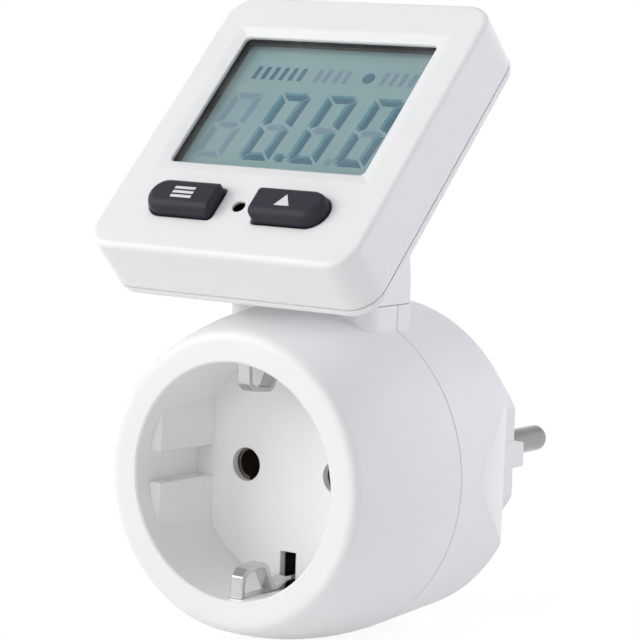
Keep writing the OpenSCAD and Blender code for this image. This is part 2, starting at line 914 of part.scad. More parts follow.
// Turned pin with a narrower root and a collar in the plug face, and a tail soldered to the measuring board
module plug_pin(x) {
  color("silver")
  translate([x, 0, 0])
    turned() {
      translate([0, meter_y - solder_tail])
        square([pin_tail_r, -plug_face_t - meter_y + solder_tail]);
      translate([0, -plug_face_t - pin_collar_t])
        square([pin_collar_r, pin_collar_t]);
      translate([0, -plug_face_t - over])
        square([pin_root_r, plug_face_t + 2 * over]);
      square([pin_r, pin_len - pin_tip_r]);
      translate([0, pin_len - pin_tip_r - over])
        square([pin_r - pin_tip_r, pin_tip_r + over]);
      intersection() {
        translate([pin_r - pin_tip_r, pin_len - pin_tip_r])
          circle(pin_tip_r);
        translate([0, pin_len - 2 * pin_tip_r])
          square([pin_r, 2 * pin_tip_r]);
      }
    }
}

module plug_pin_live() {
  plug_pin(pin_x);
}

module plug_pin_neutral() {
  plug_pin(-pin_x);
}

// Flat strip in the groove of the plug base, with a tail on the measuring board's side
module plug_earth_strip(s) {
  color("silver")
  across_x(earth_w)
    translate([strip_tail_y, s * strip_mid_z - earth_t / 2])
      square([strip_end_y - strip_tail_y, earth_t]);
}

module plug_earth_strip_upper() {
  plug_earth_strip(1);
}

module plug_earth_strip_lower() {
  plug_earth_strip(-1);
}

// Slit sleeve that grips a plug pin, with a flat tail that goes through the measuring board
module socket_contact(x) {
  color("goldenrod")
  translate([x, 0, 0]) {
    difference() {
      body_pegs([[0, 0]], contact_y, contact_end_y, contact_r);
      body_pegs([[0, 0]], contact_y - over, contact_end_y - contact_end_t, contact_in_r);
      along_y(contact_y - over, contact_y + contact_slit_len)
        square([contact_slit, far], center = true);
    }
    along_y(contact_end_y - contact_tail_root, meter_back_y + solder_tail)
      translate([-contact_tail_w / 2, contact_tail_z])
        square([contact_tail_w, contact_tail_t]);
  }
}

module socket_contact_live() {
  socket_contact(pin_x);
}

module socket_contact_neutral() {
  socket_contact(-pin_x);
}

// Two insulating sleeves behind the socket floor, joined by a plate
module contact_carrier() {
  spots = [[-pin_x, 0], [pin_x, 0]];
  color("lightgray")
  difference() {
    union() {
      body_pegs(spots, floor_back_y, carrier_end_y, carrier_r);
      along_y(carrier_plate_y, carrier_end_y)
        rounded_rect(carrier_plate_w, carrier_plate_h, carrier_corner_r);
    }
    body_pegs(spots, floor_back_y - over, carrier_plate_y, contact_r + contact_gap);
    body_pegs(spots, carrier_plate_y - over, carrier_end_y + over, contact_r + tail_fit);
    for (p = spots)
      along_y(carrier_plate_y - over, carrier_end_y + over)
        translate([p[0] - contact_tail_w / 2 - tail_gap, 0])
          square([contact_tail_w + 2 * tail_gap, contact_r + tail_gap]);
  }
}

// Spring clip with a hump towards the axis and a tail that goes through the socket floor
module earth_clip(s) {
  top = clip_top + earth_t / 2;
  color("silver")
  across_x(clip_w)
    polygon(ribbon(concat(
      [[front_y + clip_start, s * (socket_r + clip_groove_depth / 2)]],
      [for (p = clip_hump) [front_y + p[0], s * (top + p[1])]],
      [for (p = clip_foot) [front_y + p[0], s * (socket_r - p[1])]],
      [[clip_tail_y, s * clip_tail_z]]
    ), earth_t));
}

module earth_clip_upper() {
  earth_clip(1);
}

module earth_clip_lower() {
  earth_clip(-1);
}

// U-shaped strap from the clips' tails to the strips of the plug base
module earth_bridge() {
  arm = [
    [bridge_y, bridge_z], [meter_y - bridge_bend[0], bridge_z], [meter_y - bridge_bend[1], bridge_end_z],
    [bridge_end_y, bridge_end_z]
  ];
  lower = reversed([for (p = arm) [p[0], -p[1]]]);
  color("silver")
  across_x(earth_w)
    polygon(ribbon(concat(lower, arm), earth_t));
}

module measuring_board() {
  spots = [[-pin_x, 0], [pin_x, 0]];
  color("darkgreen")
  along_y(meter_y, meter_back_y)
    difference() {
      circle(meter_r);
      for (s = [-1, 1])
        translate([0, s * (strip_mid_z + meter_r) / 2])
          square([earth_w + 2 * board_slot_gap, meter_r - strip_mid_z + 2 * earth_t], center = true);
      for (p = spots)
        translate(p)
          circle(pin_tail_r + tail_fit);
      for (p = spots)
        translate([p[0] - contact_tail_w / 2 - tail_fit, contact_tail_z - tail_fit])
          square([contact_tail_w + 2 * tail_fit, contact_tail_t + 2 * tail_fit]);
      for (p = standoff_spots)
        translate(p)
          circle(meter_screw_r + screw_clear);
    }
}

module measuring_board_screws() {
  color("silver") {
    body_pegs(standoff_spots, meter_y - over, meter_screw_end_y - screw_clear, meter_screw_r);
    body_pegs(standoff_spots, meter_y - meter_screw_head_h, meter_y, meter_screw_head_r);
  }
}

module metering_chip() {
  color("black")
  along_y(meter_back_y, meter_back_y + chip_t)
    translate([0, chip_z])
      square(chip_size, center = true);
}

// Bent resistance strip that stands on the rear of the measuring board
module shunt_strip() {
  color("darkkhaki")
  translate([0, 0, shunt_z])
    linear_extrude(shunt_w, center = true)
      polygon(ribbon([
        [-shunt_x, meter_back_y], [-shunt_x, meter_back_y + shunt_h],
        [shunt_x, meter_back_y + shunt_h], [shunt_x, meter_back_y]
      ], shunt_t));
}

module dropper_capacitor() {
  color("gold")
  along_y(meter_y - dropper_len, meter_y)
    translate([0, dropper_z])
      rounded_rect(dropper_size[0], dropper_size[1], dropper_corner_r);
}

module smoothing_capacitor() {
  color("midnightblue")
  body_pegs([smoothing_spot], meter_y - smoothing_len, meter_y, smoothing_r);
}

// Disc on two legs
module varistor() {
  leg = [0, varistor_leg_z];
  mid_y = meter_y - varistor_lift - varistor_r;
  color("steelblue") {
    translate([varistor_spot[0], mid_y, varistor_spot[1]])
      rotate([0, 90, 0])
        cylinder(h = varistor_t, r = varistor_r, center = true);
    body_pegs([varistor_spot - leg, varistor_spot + leg], mid_y, meter_y, varistor_leg_r);
  }
}

module board_resistors() {
  color("dimgray")
  along_y(meter_back_y, meter_back_y + resistor_t)
    for (x = resistor_x)
      translate([x, resistor_z])
        square(resistor_size, center = true);
}

// Cable from the measuring board to the swivel axis, beside the earth bridge
module body_cable() {
  side = earth_w / 2 + cable_r + cable_gap;
  color("dimgray")
  cable([
    [side, meter_y, body_cable_z], [side, meter_y - body_cable_run, body_cable_z],
    [side, seam_y + body_cable_bend[0], body_cable_bend[1]], [side, seam_y, body_cable_cross_z],
    [0, seam_y, cable_join_z - body_cable_rise], [0, seam_y, cable_join_z]
  ], cable_r);
}

module swivel_washer() {
  color("silver")
  translate([0, seam_y, flange_top + washer_gap])
    difference() {
      cylinder(h = washer_t, r = flange_r);
      translate([0, 0, -over])
        cylinder(h = washer_t + 2 * over, r = spigot_r + loose);
    }
}

// Block of the neck between the pad and the head, its rear face leaning forwards
module neck_block() {
  top = 2 * head_rise;
  intersection() {
    translate([0, 0, neck_z])
      linear_extrude(top)
        pad_outline();
    across_x(far)
      polygon([
        [seam_y - pad_front - over, neck_z], [seam_y + pad_back, neck_z],
        [seam_y + pad_back - top * tan(neck_lean), neck_z + top],
        [seam_y - pad_front - over, neck_z + top]
      ]);
    at_head()
      translate([-far / 2, -far / 2, -head_t + over - far])
        cube(far);
  }
}

// Hollow of the neck, open into the head
module neck_hollow() {
  top = 2 * head_rise;
  foot = neck_z + neck_wall;
  intersection() {
    across_x(2 * (cable_bore_r + neck_side))
      polygon([
        [seam_y - pad_front + neck_wall, foot], [seam_y + pad_back - neck_wall, foot],
        [seam_y + pad_back - neck_wall - top * tan(neck_lean), foot + top],
        [seam_y - pad_front + neck_wall, foot + top]
      ]);
    at_head()
      translate([-far / 2, -far / 2, -head_seam + over - far])
        cube(far);
  }
}

module display_back() {
  color("white")
  difference() {
    union() {
      at_head()
        translate([0, 0, -head_t])
          mirror([0, 0, 1])
            soft_plate(head_w, head_h, head_corner_r, head_t - head_seam, head_edge_r);
      head_slab(head_seam - cover_lip_h, head_seam + over)
        cover_lip();
      neck_block();
      translate([0, seam_y, spigot_end])
        cylinder(h = neck_z - spigot_end + over, r = spigot_r);
      translate([0, seam_y, spigot_end])
        cylinder(h = flange_t, r = flange_r);
      translate([-tab_half, seam_y, spigot_end])
        cube([2 * tab_half, flange_r + tab_reach, flange_t]);
    }
    neck_hollow();
    translate([0, seam_y, spigot_end - over])
      cylinder(h = neck_z + neck_wall - spigot_end + 2 * over, r = cable_bore_r);
    head_pegs(head_boss_spots, head_seam - over, head_t + over, head_screw_r + screw_clear);
    head_pegs(head_boss_spots, head_t - head_screw_sink, head_t + over, head_screw_head_r + screw_clear);
  }
}

// Low rim of the back that fits inside the bezel's wall
module cover_lip() {
  inset = loose + cover_lip_t;
  difference() {
    rounded_rect(cavity_w - 2 * loose, cavity_h - 2 * loose, cavity_r - loose);
    rounded_rect(cavity_w - 2 * inset, cavity_h - 2 * inset, cavity_r - inset);
    for (p = head_boss_spots)
      translate(p)
        circle(head_boss_r + 2 * loose);
  }
}

module display_bezel() {
  color("white")
  difference() {
    union() {
      difference() {
        at_head()
          soft_plate(head_w, head_h, head_corner_r, head_seam, head_edge_r);
        head_slab(head_front_t, head_seam + over)
          rounded_rect(cavity_w, cavity_h, cavity_r);
      }
      head_pegs(head_boss_spots, head_front_t - over, head_seam, head_boss_r);
      head_pegs(board_post_spots, head_front_t - over, board_depth, board_post_r);
    }
    window_cut();
    head_slab(pane_depth, head_front_t + over)
      translate([0, window_u])
        square([pane_w + 2 * loose, pane_h + 2 * loose], center = true);
    for (s = [0, 1])
      head_slab(-over, head_front_t + over)
        mirror([s, 0])
          key_outline(key_gap);
    head_pegs([[0, -key_drop]], -over, head_front_t + over, pinhole_r);
    head_pegs([[0, -key_drop]], pinhole_lip, head_front_t + over, key_in - key_gap - pinhole_bridge);
    head_pegs(head_boss_spots, head_front_t + head_bore_start, head_seam + over, head_screw_r + screw_fit);
    head_pegs(board_post_spots, board_depth - board_screw_bite - screw_clear, board_depth + over,
              board_screw_r + screw_fit);
    head_slab(head_seam - seam_gap, head_seam + over)
      difference() {
        square([2 * head_w, 2 * head_h], center = true);
        rounded_rect(head_w - 2 * seam_groove, head_h - 2 * seam_groove, head_corner_r - seam_groove);
      }
  }
}

// Window opening with a bevel all round
module window_cut() {
  head_slab(-over, pane_depth + over)
    translate([0, window_u])
      rounded_rect(window_w, window_h, window_corner_r);
  at_head()
    translate([0, window_u, 0])
      intersection() {
        rotate([90, 0, 0])
          linear_extrude(far, center = true)
            bevel_section(window_w);
        rotate([90, 0, 90])
          linear_extrude(far, center = true)
            bevel_section(window_h);
      }
}

module bevel_section(w) {
  rise = over / bevel_d * bevel_w;
  polygon([
    [-w / 2, -bevel_d], [w / 2, -bevel_d],
    [w / 2 + bevel_w + rise, over], [-w / 2 - bevel_w - rise, over]
  ]);
}

// Outline of the right-hand key: round at its outer end, square at its inner end
module key_outline(grow) {
  h = key_h + 2 * grow;
  inner = key_in - grow;
  outer = key_in + key_w + grow;
  translate([0, -key_drop]) {
    translate([outer - h / 2, 0])
      circle(h / 2);
    translate([inner + key_corner_r, -h / 2])
      square([outer - h / 2 - inner - key_corner_r, h]);
    translate([inner, -h / 2 + key_corner_r])
      square([2 * key_corner_r, h - 2 * key_corner_r]);
    for (s = [-1, 1])
      translate([inner + key_corner_r, s * (h / 2 - key_corner_r)])
        circle(key_corner_r);
  }
}

// Cap of a key above the bezel, its long edges and its outer end rounded
module key_cap() {
  outer = key_in + key_w - key_h / 2;
  at_head()
    translate([0, -key_drop, key_rise])
      intersection() {
        union() {
          rotate([90, 0, 90])
            linear_extrude(outer)
              soft_section(key_h, key_rise + head_front_t + key_gap + over, key_edge_r);
          translate([outer, 0, 0])
            rotate_extrude()
              intersection() {
                soft_section(key_h, key_rise + head_front_t + key_gap + over, key_edge_r);
                translate([0, -far])
                  square(far + key_rise);
              }
        }
        translate([0, key_drop, -far / 2])
          linear_extrude(far)
            key_outline(0);
      }
}

module key(side) {
  color("darkslategray")
  mirror([side < 0 ? 1 : 0, 0, 0]) {
    key_cap();
    head_slab(flange_depth, flange_depth + key_flange_t)
      key_outline(key_flange);
    head_pegs([[key_mid, -key_drop]], flange_depth, pill_depth - pill_t, key_stem_r);
  }
}

module key_pill(side) {
  color("black")
  head_pegs([[side * key_mid, -key_drop]], pill_depth - pill_t, pill_depth, pill_r);
}

module mode_key() {
  key(-1);
}

module up_key() {
  key(1);
}

module mode_key_pill() {
  key_pill(-1);
}

module up_key_pill() {
  key_pill(1);
}

module keypad_mat() {
  color("dimgray")
  head_slab(board_depth - mat_t, board_depth)
    translate([0, -key_drop])
      difference() {
        rounded_rect(2 * (key_in + key_w), mat_h, mat_corner_r);
        for (s = [-1, 1])
          translate([s * key_mid, 0])
            circle(mat_hole_r);
        square(reset_body + 2 * mat_gap, center = true);
      }
}

module reset_switch() {
  top = board_depth - reset_body_h;
  color("black")
  difference() {
    head_slab(top, board_depth)
      translate([0, -key_drop])
        square(reset_body, center = true);
    head_pegs([[0, -key_drop]], top - over, top + plunger_root + reset_travel + plunger_room,
              plunger_r + plunger_fit);
  }
}

module reset_plunger() {
  top = board_depth - reset_body_h;
  color("gainsboro")
  head_pegs([[0, -key_drop]], top - plunger_show, top + plunger_root, plunger_r);
}

module display_window() {
  color("lightcyan", 0.4)
  head_slab(pane_depth, pane_depth + pane_t)
    translate([0, window_u])
      square([pane_w, pane_h], center = true);
}

module lcd_gasket() {
  color("black")
  head_slab(gasket_depth, gasket_depth + gasket_t)
    translate([0, window_u])
      difference() {
        square([pane_w, pane_h], center = true);
        square([window_w, window_h], center = true);
      }
}

// Front glass, longer at the bottom by its contact ledge
module lcd_front_glass() {
  color("darkseagreen", 0.7)
  head_slab(glass_depth, rear_glass_depth)
    translate([-pane_w / 2, ledge_y])
      square([pane_w, pane_h + ledge_h]);
}

module lcd_rear_glass() {
  color("darkseagreen", 0.7)
  head_slab(rear_glass_depth, reflector_depth)
    translate([0, window_u])
      square([pane_w, pane_h], center = true);
}

module lcd_reflector() {
  color("silver")
  head_slab(reflector_depth, reflector_depth + reflector_t)
    translate([0, window_u])
      square([pane_w, pane_h], center = true);
}

// Rubber contact strip between the ledge of the front glass and the display board
module zebra_strip() {
  color("pink")
  head_slab(rear_glass_depth, board_depth)
    translate([-window_w / 2, ledge_y + (ledge_h - zebra_t) / 2])
      square([window_w, zebra_t]);
}

module display_board() {
  color("darkgreen")
  head_slab(board_depth, board_back)
    difference() {
      union() {
        square([cavity_w - 2 * board_gap, board_mid_h], center = true);
        square([2 * (head_boss_x - head_boss_r - board_gap), cavity_h - 2 * board_gap], center = true);
      }
      for (p = board_post_spots)
        translate(p)
          circle(board_screw_r + screw_clear);
    }
}

module display_board_screws() {
  color("silver") {
    head_pegs(board_post_spots, board_depth - board_screw_bite, board_back + over, board_screw_r);
    head_pegs(board_post_spots, board_back, board_back + board_screw_head_h, board_screw_head_r);
  }
}

// Drop of sealing resin over the controller
module controller_blob() {
  ball_r = (blob_r * blob_r + blob_h * blob_h) / (2 * blob_h);
  color("black")
  at_head()
    translate([blob_spot[0], blob_spot[1], -board_back])
      intersection() {
        translate([0, 0, ball_r - blob_h])
          sphere(ball_r);
        translate([0, 0, -blob_h])
          cylinder(h = blob_h, r = 2 * blob_r);
      }
}

module crystal() {
  color("silver")
  at_head()
    translate([crystal_spot[0], crystal_spot[1], -board_back - crystal_r])
      rotate([0, 90, 0])
        cylinder(h = crystal_len, r = crystal_r, center = true);
}

module backup_cell() {
  color("silver")
  head_pegs([cell_spot], board_back, board_back + cell_t, cell_r);
}

// Spring strip over the cell, with a leg on the board at each side
module cell_clip() {
  leg = cell_r + cell_clip_gap;
  mid = -board_back - cell_t - cell_clip_t / 2;
  color("gainsboro")
  at_head()
    translate([cell_spot[0], cell_spot[1], 0])
      rotate([90, 0, 0])
        linear_extrude(cell_clip_w, center = true)
          polygon(ribbon([[-leg, -board_back], [-leg, mid], [leg, mid], [leg, -board_back]], cell_clip_t));
}

module cable_connector() {
  color("white")
  head_slab(board_back, board_back + connector_t)
    translate([0, connector_y])
      square([connector_w, connector_h], center = true);
}

function head_point(y, depth) = [
  0,
  head_y + y * cos(tilt) + depth * sin(tilt),
  head_z + y * sin(tilt) - depth * cos(tilt)
];

// Cable from the swivel axis through the neck to the connector
module head_cable() {
  color("dimgray")
  cable([
    [0, seam_y, cable_join_z], [0, seam_y, neck_z + neck_wall + head_cable_foot],
    head_point(connector_y, head_t + head_cable_turn), head_point(connector_y, board_back + connector_t)
  ], cable_r);
}

module head_screws() {
  seat = head_t - head_screw_sink;
  color("dimgray") {
    head_pegs(head_boss_spots, seat - head_screw_len, seat + over, head_screw_r);
    head_slab(seat, seat + head_screw_head_h)
      for (p = head_boss_spots)
        translate(p)
          difference() {
            circle(head_screw_head_r);
            square([head_recess_w, head_recess_slot], center = true);
            square([head_recess_slot, head_recess_w], center = true);
          }
  }
}

front_housing();
rear_housing();
housing_screws();
plug_pin_live();
plug_pin_neutral();
plug_earth_strip_upper();
plug_earth_strip_lower();
socket_contact_live();
socket_contact_neutral();
contact_carrier();
earth_clip_upper();
earth_clip_lower();
earth_bridge();
measuring_board();
measuring_board_screws();
metering_chip();
shunt_strip();
dropper_capacitor();
smoothing_capacitor();
varistor();
board_resistors();
body_cable();
swivel_washer();
display_back();
display_bezel();
head_screws();
display_window();
lcd_gasket();
lcd_front_glass();
lcd_rear_glass();
lcd_reflector();
zebra_strip();
display_board();
display_board_screws();
controller_blob();
crystal();
backup_cell();
cell_clip();
keypad_mat();
reset_switch();
reset_plunger();
cable_connector();
head_cable();
mode_key();
mode_key_pill();
up_key();
up_key_pill();
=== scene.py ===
import json
import math

import bmesh
import bpy
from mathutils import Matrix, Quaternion, Vector


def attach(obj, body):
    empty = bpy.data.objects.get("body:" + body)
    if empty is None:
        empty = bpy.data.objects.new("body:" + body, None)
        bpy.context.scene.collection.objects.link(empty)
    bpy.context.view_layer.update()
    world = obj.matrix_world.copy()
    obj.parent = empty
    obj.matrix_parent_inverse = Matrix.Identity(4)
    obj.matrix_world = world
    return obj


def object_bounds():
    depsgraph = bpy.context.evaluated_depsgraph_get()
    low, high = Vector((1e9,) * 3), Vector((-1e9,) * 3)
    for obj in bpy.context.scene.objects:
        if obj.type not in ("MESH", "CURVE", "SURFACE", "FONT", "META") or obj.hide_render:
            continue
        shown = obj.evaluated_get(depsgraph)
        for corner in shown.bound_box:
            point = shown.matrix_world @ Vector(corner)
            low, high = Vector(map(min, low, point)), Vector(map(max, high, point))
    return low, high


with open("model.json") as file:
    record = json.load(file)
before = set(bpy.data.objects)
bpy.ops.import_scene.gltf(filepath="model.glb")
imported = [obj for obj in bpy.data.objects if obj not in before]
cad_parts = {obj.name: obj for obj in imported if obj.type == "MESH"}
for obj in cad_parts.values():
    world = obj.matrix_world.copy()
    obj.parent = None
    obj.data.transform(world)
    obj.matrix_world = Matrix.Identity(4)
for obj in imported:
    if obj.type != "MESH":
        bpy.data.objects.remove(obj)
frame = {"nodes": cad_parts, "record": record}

MM = 0.001
nodes = frame["nodes"]
cad_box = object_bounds()

# Directions of the tilted head: across its face, up its face and out of its face
ACROSS = Vector((1, 0, 0))
UP = Vector((0, 1, 1)).normalized()
OUT = Vector((0, -1, 1)).normalized()

# Height of the window opening in mm
WINDOW_H = 30


def reach(name, axis):
    """How far a CAD node reaches along an axis, from its lowest to its highest point."""
    along = [v.co.dot(axis) for v in nodes[name].data.vertices]
    return min(along), max(along)


def middle(name, axis):
    return sum(reach(name, axis)) / 2


# Materials

# A noise has most of its values between these
NOISE_LOW, NOISE_HIGH = 0.3, 0.7
# Radii in metres over which light rolls around an edge: of the housings, the display's frame and small pieces
HOUSING_EDGE, FRAME_EDGE, SMALL_EDGE = 0.00025, 0.0005, 0.0003
# Stretch of the grain in a drawn strip
DRAWN = (1, 1, 0.08)


def start(name):
    """A new node material: the material, its nodes, its links and its Principled shader."""
    material = bpy.data.materials.new(name)
    material.use_nodes = True
    tree = material.node_tree
    return material, tree.nodes, tree.links, tree.nodes["Principled BSDF"]


def object_coordinates(tree_nodes, links, stretch=(1, 1, 1)):
    """The node's own coordinates in metres, stretched along its axes."""
    place = tree_nodes.new("ShaderNodeTexCoord")
    mapping = tree_nodes.new("ShaderNodeMapping")
    mapping.inputs["Scale"].default_value = stretch
    links.new(place.outputs["Object"], mapping.inputs["Vector"])
    return mapping.outputs["Vector"]


def noise(tree_nodes, links, where, scale, detail=3.0):
    """A noise of that many waves in a metre."""
    texture = tree_nodes.new("ShaderNodeTexNoise")
    texture.inputs["Scale"].default_value = scale
    texture.inputs["Detail"].default_value = detail
    links.new(where, texture.inputs["Vector"])
    return texture.outputs["Fac"]


def colours(tree_nodes, links, factor, stops):
    """Colours along a factor from 0 to 1, given as (place, (r, g, b)) stops."""
    ramp = tree_nodes.new("ShaderNodeValToRGB")
    while len(ramp.color_ramp.elements) < len(stops):
        ramp.color_ramp.elements.new(0.5)
    for element, (place, rgb) in zip(ramp.color_ramp.elements, stops):
        element.position = place
        element.color = (*rgb, 1)
    links.new(factor, ramp.inputs["Fac"])
    return ramp.outputs["Color"]


def clouded(tree_nodes, links, factor, dark, light):
    """Two close colours, spread by a noise."""
    return colours(tree_nodes, links, factor, [(NOISE_LOW, dark), (NOISE_HIGH, light)])


def spread(tree_nodes, links, factor, low, high, first=NOISE_LOW, last=NOISE_HIGH):
    """A factor's part from first to last, spread from low to high."""
    span = tree_nodes.new("ShaderNodeMapRange")
    span.inputs["From Min"].default_value = first
    span.inputs["From Max"].default_value = last
    span.inputs["To Min"].default_value = low
    span.inputs["To Max"].default_value = high
    links.new(factor, span.inputs["Value"])
    return span.outputs["Result"]


def bump(tree_nodes, links, height, depth, strength, normal=None):
    """Relief of that depth in metres, on top of another normal where one is given."""
    relief = tree_nodes.new("ShaderNodeBump")
    relief.inputs["Strength"].default_value = strength
    relief.inputs["Distance"].default_value = depth
    links.new(height, relief.inputs["Height"])
    if normal is not None:
        links.new(normal, relief.inputs["Normal"])
    return relief.outputs["Normal"]


def soft_edges(tree_nodes, radius):
    """A normal that rolls over each sharp edge."""
    bevel = tree_nodes.new("ShaderNodeBevel")
    bevel.samples = 6
    bevel.inputs["Radius"].default_value = radius
    return bevel.outputs["Normal"]


def surface(name, dark, light, roughness, metallic=0.0, specular=0.5, cloud=300, grain=5000,
            depth=0.00001, strength=0.1, edge=0.0, stretch=(1, 1, 1)):
    """A moulded, rolled or cast surface: clouded colour, uneven roughness and fine grain."""
    material, tree_nodes, links, shader = start(name)
    where = object_coordinates(tree_nodes, links, stretch)
    clouds = noise(tree_nodes, links, where, cloud)
    fine = noise(tree_nodes, links, where, grain, 2.0)
    links.new(clouded(tree_nodes, links, clouds, dark, light), shader.inputs["Base Color"])
    links.new(spread(tree_nodes, links, fine, *roughness), shader.inputs["Roughness"])
    shader.inputs["Metallic"].default_value = metallic
    shader.inputs["Specular IOR Level"].default_value = specular
    rolled = soft_edges(tree_nodes, edge) if edge else None
    links.new(bump(tree_nodes, links, fine, depth, strength, rolled), shader.inputs["Normal"])
    return material


def circuit_board():
    """Green solder mask over copper tracks that run square to one another."""
    material, tree_nodes, links, shader = start("circuit_board")
    where = object_coordinates(tree_nodes, links)
    tracks = tree_nodes.new("ShaderNodeTexBrick")
    tracks.inputs["Scale"].default_value = 160
    tracks.inputs["Mortar Size"].default_value = 0.035
    tracks.inputs["Color1"].default_value = (0.010, 0.075, 0.030, 1)
    tracks.inputs["Color2"].default_value = (0.012, 0.085, 0.034, 1)
    tracks.inputs["Mortar"].default_value = (0.030, 0.150, 0.060, 1)
    links.new(where, tracks.inputs["Vector"])
    links.new(tracks.outputs["Color"], shader.inputs["Base Color"])
    fine = noise(tree_nodes, links, where, 2500)
    links.new(spread(tree_nodes, links, fine, 0.28, 0.40), shader.inputs["Roughness"])
    links.new(bump(tree_nodes, links, tracks.outputs["Fac"], 0.00003, 0.4), shader.inputs["Normal"])
    return material


def zebra_rubber():
    """Contact rubber with thin dark layers side by side along its length."""
    material, tree_nodes, links, shader = start("zebra_rubber")
    where = object_coordinates(tree_nodes, links)
    layers = tree_nodes.new("ShaderNodeTexWave")
    layers.bands_direction = "X"
    layers.inputs["Scale"].default_value = 900
    layers.inputs["Distortion"].default_value = 0.3
    links.new(where, layers.inputs["Vector"])
    links.new(colours(tree_nodes, links, layers.outputs["Fac"],
                      [(0.35, (0.02, 0.02, 0.02)), (0.6, (0.55, 0.53, 0.50))]), shader.inputs["Base Color"])
    links.new(spread(tree_nodes, links, layers.outputs["Fac"], 0.6, 0.75), shader.inputs["Roughness"])
    return material


def clear_window():
    """Clear acrylic with a faint uneven haze."""
    material, tree_nodes, links, shader = start("clear_window")
    where = object_coordinates(tree_nodes, links)
    haze = noise(tree_nodes, links, where, 120)
    links.new(clouded(tree_nodes, links, haze, (0.78, 0.82, 0.82), (0.84, 0.87, 0.87)),
              shader.inputs["Base Color"])
    links.new(spread(tree_nodes, links, haze, 0.03, 0.07), shader.inputs["Alpha"])
    links.new(spread(tree_nodes, links, haze, 0.04, 0.08), shader.inputs["Roughness"])
    return material


# How far the painted shade of the frame's upper edge reaches down the display, in metres, and how deep it gets
PAINTED_SHADE_REACH = 0.0014
PAINTED_SHADE_DEPTH = 0.55
# Places of the two colours and of the result among the sockets of a colour mix
MIX_A, MIX_B, MIX_RESULT = 6, 7, 2


def display_cell():
    """The grey-green cell of the display, with a soft painted shade below the frame's upper edge."""
    material, tree_nodes, links, shader = start("lcd_glass")
    where = object_coordinates(tree_nodes, links)
    clouds = noise(tree_nodes, links, where, 90)
    upward = tree_nodes.new("ShaderNodeVectorMath")
    upward.operation = "DOT_PRODUCT"
    upward.inputs[1].default_value = UP
    links.new(where, upward.inputs[0])
    top = middle("display_window", UP) + WINDOW_H / 2 * MM
    shade = spread(tree_nodes, links, upward.outputs["Value"], 0.0, PAINTED_SHADE_DEPTH, top - PAINTED_SHADE_REACH, top)
    mix = tree_nodes.new("ShaderNodeMix")
    mix.data_type = "RGBA"
    links.new(shade, mix.inputs["Factor"])
    grey_green = clouded(tree_nodes, links, clouds, (0.244, 0.380, 0.396), (0.258, 0.396, 0.412))
    links.new(grey_green, mix.inputs[MIX_A])
    # Near-black colour of the painted shade, mixed in towards the frame's upper edge
    mix.inputs[MIX_B].default_value = (0.030, 0.032, 0.036, 1)
    links.new(mix.outputs[MIX_RESULT], shader.inputs["Base Color"])
    links.new(spread(tree_nodes, links, clouds, 0.30, 0.38), shader.inputs["Roughness"])
    shader.inputs["Specular IOR Level"].default_value = 0.3
    return material


def sheer(name, dark, light, alpha):
    """A faint see-through painted shadow, uneven as ink in a display cell."""
    material, tree_nodes, links, shader = start(name)
    where = object_coordinates(tree_nodes, links)
    clouds = noise(tree_nodes, links, where, 700)
    links.new(clouded(tree_nodes, links, clouds, dark, light), shader.inputs["Base Color"])
    links.new(spread(tree_nodes, links, clouds, *alpha), shader.inputs["Alpha"])
    links.new(spread(tree_nodes, links, clouds, 0.45, 0.55), shader.inputs["Roughness"])
    shader.inputs["Specular IOR Level"].default_value = 0.1
    return material


def white_plastic(name, edge):
    """White moulded plastic with edges as soft as that."""
    return surface(name, (0.908, 0.910, 0.914), (0.926, 0.927, 0.930), (0.36, 0.44), cloud=70, grain=4200,
                   depth=0.000006, edge=edge)


def nickel(name, dark, light):
    """Nickel plating with a faint grain."""
    return surface(name, dark, light, (0.10, 0.16), 1.0, cloud=250, grain=2600, depth=0.000008, strength=0.15,
                   edge=SMALL_EDGE)


